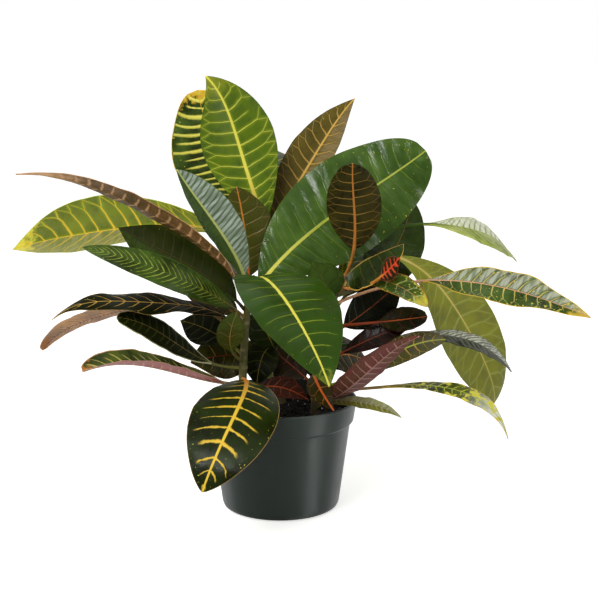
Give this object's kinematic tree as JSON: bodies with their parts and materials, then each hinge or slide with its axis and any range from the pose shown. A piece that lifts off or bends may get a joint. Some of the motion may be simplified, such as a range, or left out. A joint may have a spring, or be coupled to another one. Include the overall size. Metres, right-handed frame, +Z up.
{
  "type": "potted croton",
  "caption": "Bushy tropical foliage plant with broad veined leaves on woody stems, growing in soil in a round tapered pot that stands on its flat base.",
  "frame": {"origin": "middle of the pot's flat underside, on the surface that the pot stands on", "axes": "+Z up along the pot's axis; +X towards the plant's right as the picture shows it, which is the way the leaves spread furthest; +Y away from the viewer, so the front of the plant looks towards -Y"},
  "size_m": [0.5736, 0.3853, 0.4334],
  "materials": {
    "pot": "satin dark grey-green moulded plastic",
    "soil": "matt, crumbly and almost black, with a few white grains",
    "stem": "matt green-brown bark with leaf scars",
    "leaf_lemon": "glossy green leaf with lemon veins",
    "leaf_golden": "glossy dark green leaf with golden veins",
    "leaf_olive": "olive brown leaf with an orange midrib",
    "leaf_bronze": "bronze brown leaf with an orange midrib",
    "leaf_dark": "near-black green leaf with thin veins",
    "leaf_rose": "matt pink-mauve back of a leaf with raised ribs",
    "leaf_pale": "light olive leaf with a yellow midrib",
    "leaf_red": "dark maroon leaf with orange-red veins"
  },
  "bodies": {
    "root": {"pot": "pot", "soil": "soil", "front_stem": "stem", "right_stem": "stem", "back_stem": "stem", "top_green_leaf": "leaf_lemon", "top_back_golden_leaf": "leaf_golden", "upper_left_folded_leaf": "leaf_dark", "upper_middle_olive_leaf": "leaf_olive", "upper_right_olive_leaf": "leaf_olive", "great_right_leaf": "leaf_lemon", "bronze_round_leaf": "leaf_bronze", "far_right_dark_leaf": "leaf_dark", "level_pale_leaf": "leaf_golden", "long_right_leaf": "leaf_golden", "hanging_pale_leaf": "leaf_pale", "glossy_dark_right_leaf": "leaf_dark", "low_right_variegated_leaf": "leaf_golden", "front_green_leaf": "leaf_lemon", "hanging_front_leaf": "leaf_golden", "low_left_rose_edged_leaf": "leaf_golden", "low_left_dark_leaf": "leaf_dark", "left_ribbed_rose_leaf": "leaf_rose", "left_orange_veined_leaf": "leaf_dark", "great_left_leaf": "leaf_lemon", "rising_left_rose_leaf": "leaf_rose", "left_dark_striped_leaf": "leaf_golden", "left_bronze_leaf": "leaf_bronze", "rose_backed_leaf": "leaf_rose", "small_right_olive_leaf": "leaf_olive", "rim_olive_leaf": "leaf_olive", "orange_ribbed_small_leaf": "leaf_red", "soil_red_leaf": "leaf_red", "middle_right_drooping_leaf": "leaf_dark", "middle_right_veined_leaf": "leaf_golden", "inner_right_black_leaf": "leaf_dark", "inner_right_maroon_leaf": "leaf_red", "small_red_ribbed_leaf": "leaf_red", "inner_left_hooked_leaf": "leaf_dark", "inner_left_dark_leaf": "leaf_dark", "middle_dark_leaf": "leaf_dark", "inner_middle_dark_leaf": "leaf_dark", "inner_left_brown_leaf": "leaf_bronze", "back_hanging_left_leaf": "leaf_lemon", "back_hanging_right_leaf": "leaf_bronze", "back_hanging_middle_leaf": "leaf_golden", "back_top_leaf": "leaf_golden", "back_upper_left_leaf": "leaf_lemon", "back_middle_leaf": "leaf_golden", "back_upper_right_leaf": "leaf_olive", "back_lower_left_leaf": "leaf_dark", "back_lower_right_leaf": "leaf_golden", "back_lower_middle_leaf": "leaf_olive", "back_low_left_leaf": "leaf_red", "back_low_right_leaf": "leaf_bronze", "back_lowest_leaf": "leaf_dark", "back_crown_leaf": "leaf_bronze", "back_right_crown_leaf": "leaf_lemon"}
  },
  "joints": []
}
